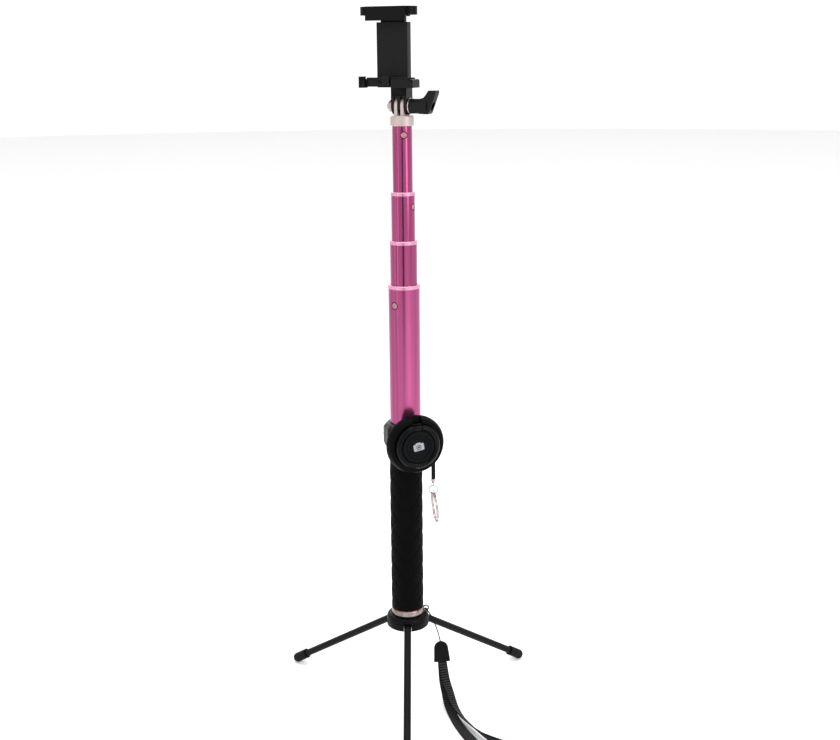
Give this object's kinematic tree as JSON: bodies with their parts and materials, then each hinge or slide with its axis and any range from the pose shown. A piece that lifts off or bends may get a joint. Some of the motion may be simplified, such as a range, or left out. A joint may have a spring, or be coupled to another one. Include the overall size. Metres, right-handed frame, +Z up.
{
  "type": "selfie stick",
  "caption": "Telescoping selfie stick with a spring phone clamp, folding tripod legs, rubber grip, clip-on shutter remote with key ring, and a wrist strap.",
  "frame": {"origin": "on the ground, under the pole's axis, with the three feet standing on z = 0", "axes": "+Z up the pole, towards the phone clamp; the front leg points along -Y; +X is to the right seen from the front"},
  "size_m": [0.2362, 0.2077, 0.6419],
  "materials": {
    "tube_pink": "anodised, semi-gloss",
    "collar_bright": "polished, pale pink anodised",
    "pale_metal": "satin silver",
    "steel": "plated",
    "bright_steel": "polished",
    "leg_metal": "satin black",
    "black_plastic": "fine matt",
    "grey_plastic": "satin dark grey",
    "gloss_black": "gloss black",
    "grip_rubber": "matt black",
    "foot_rubber": "semi-gloss black",
    "boss_plastic": "satin grey",
    "white_plastic": "natural white",
    "board_green": "circuit board",
    "spring_brass": "plated spring strip",
    "cord_black": "braided cord",
    "webbing_black": "ribbed woven tape"
  },
  "bodies": {
    "handle": {"tripod_hub": "black_plastic", "hub_base_cap": "black_plastic", "hub_screw": "steel", "leg_pins": "steel", "handle_end_plug": "black_plastic", "strap_ring": "pale_metal", "outer_tube": "tube_pink", "grip": "grip_rubber", "collar_one": "collar_bright", "guide_bush_one": "boss_plastic", "strap_cord": "cord_black", "strap_clip": "black_plastic", "strap_webbing": "webbing_black"},
    "leg_front": {"leg_rod_front": "leg_metal", "leg_foot_front": "foot_rubber"},
    "leg_left": {"leg_rod_left": "leg_metal", "leg_foot_left": "foot_rubber"},
    "leg_right": {"leg_rod_right": "leg_metal", "leg_foot_right": "foot_rubber"},
    "second_lock": {"lock_bush_second": "black_plastic"},
    "second_section": {"second_tube": "tube_pink", "collar_two": "collar_bright", "guide_bush_two": "boss_plastic", "lock_cone_second": "white_plastic"},
    "third_lock": {"lock_bush_third": "black_plastic"},
    "third_section": {"third_tube": "tube_pink", "collar_three": "collar_bright", "guide_bush_three": "boss_plastic", "lock_cone_third": "white_plastic"},
    "top_lock": {"lock_bush_top": "black_plastic"},
    "top_section": {"top_tube": "tube_pink", "lock_cone_top": "white_plastic", "head_adapter": "pale_metal"},
    "clamp": {"clamp_body": "black_plastic", "lower_jaw_pad": "grip_rubber", "housing_cover": "black_plastic", "cover_screws": "steel", "cap_nut": "steel"},
    "jaw": {"upper_jaw": "black_plastic", "upper_jaw_pad": "grip_rubber", "jaw_spring": "steel"},
    "tilt_screw": {"thumb_screw": "steel", "thumb_knob": "black_plastic", "thumb_washer": "steel"},
    "remote_clip": {"clip_front": "grey_plastic", "clip_back": "grey_plastic", "clip_screws": "steel", "remote_cup": "black_plastic", "lanyard_cord": "cord_black", "lanyard_crimp": "steel"},
    "remote": {"remote_rear_shell": "gloss_black", "remote_front_shell": "gloss_black", "circuit_board": "board_green", "tact_switch": "steel", "coin_cell": "steel", "battery_clip": "spring_brass", "battery_door": "black_plastic"},
    "button": {"remote_button": "gloss_black"},
    "link": {"link_ring": "steel"},
    "keys": {"key_ring": "bright_steel"}
  },
  "joints": [
    {"name": "leg_front_fold", "type": "hinge", "parent": "handle", "child": "leg_front", "pos_m": [-0.00026, -0.015, 0.08], "axis": [0.9998, -0.0174, 0], "range_deg": [0, 56]},
    {"name": "leg_left_fold", "type": "hinge", "parent": "handle", "child": "leg_left", "pos_m": [-0.01292, 0.00761, 0.08], "axis": [-0.5075, -0.8616, 0], "range_deg": [0, 56]},
    {"name": "leg_right_fold", "type": "hinge", "parent": "handle", "child": "leg_right", "pos_m": [0.01292, 0.00761, 0.08], "axis": [-0.5075, 0.8616, 0], "range_deg": [0, 56]},
    {"name": "second_slide", "type": "slide", "parent": "handle", "child": "second_lock", "axis": [0, 0, 1], "range_m": [-0.0356, 0.22]},
    {"name": "second_twist", "type": "hinge", "parent": "second_lock", "child": "second_section", "pos_m": [0, 0, 0.1581], "axis": [0, 0, 1], "range_deg": [0, 120]},
    {"name": "third_slide", "type": "slide", "parent": "second_section", "child": "third_lock", "axis": [0, 0, 1], "range_m": [-0.0389, 0.19]},
    {"name": "third_twist", "type": "hinge", "parent": "third_lock", "child": "third_section", "pos_m": [0, 0, 0.2288], "axis": [0, 0, 1], "range_deg": [0, 120]},
    {"name": "top_slide", "type": "slide", "parent": "third_section", "child": "top_lock", "axis": [0, 0, 1], "range_m": [-0.0556, 0.15]},
    {"name": "top_twist", "type": "hinge", "parent": "top_lock", "child": "top_section", "pos_m": [0, 0, 0.314], "axis": [0, 0, 1], "range_deg": [0, 120]},
    {"name": "head_tilt", "type": "hinge", "parent": "top_section", "child": "clamp", "pos_m": [0, 0, 0.5604], "axis": [0.9272, -0.3746, 0], "range_deg": [-90, 90]},
    {"name": "tilt_screw_turn", "type": "hinge", "parent": "clamp", "child": "tilt_screw", "pos_m": [0, 0, 0.5604], "axis": [0.9272, -0.3746, 0], "continuous": true},
    {"name": "jaw_slide", "type": "slide", "parent": "clamp", "child": "jaw", "axis": [0, 0, 1], "range_m": [0, 0.033], "stiffness_N_per_m": 150, "springref_m": -0.05, "deforming": ["jaw_spring"]},
    {"name": "clip_swivel", "type": "hinge", "parent": "handle", "child": "remote_clip", "pos_m": [0, 0, 0.267], "axis": [0, 0, 1], "continuous": true},
    {"name": "remote_snap", "type": "slide", "parent": "remote_clip", "child": "remote", "axis": [0.3256, -0.9455, 0], "range_m": [0, 0.015]},
    {"name": "button_press", "type": "slide", "parent": "remote", "child": "button", "axis": [-0.3256, 0.9455, 0], "range_m": [0, 0.0005], "stiffness_N_per_m": 2000, "springref_m": -0.0001},
    {"name": "link_swing", "type": "hinge", "parent": "remote_clip", "child": "link", "pos_m": [0.0249, -0.0128, 0.2195], "axis": [0, 1, 0], "range_deg": [-50, 12]},
    {"name": "key_ring_swing", "type": "hinge", "parent": "link", "child": "keys", "pos_m": [0.0249, -0.0128, 0.2123], "axis": [1, 0, 0], "range_deg": [-65, 65]}
  ]
}
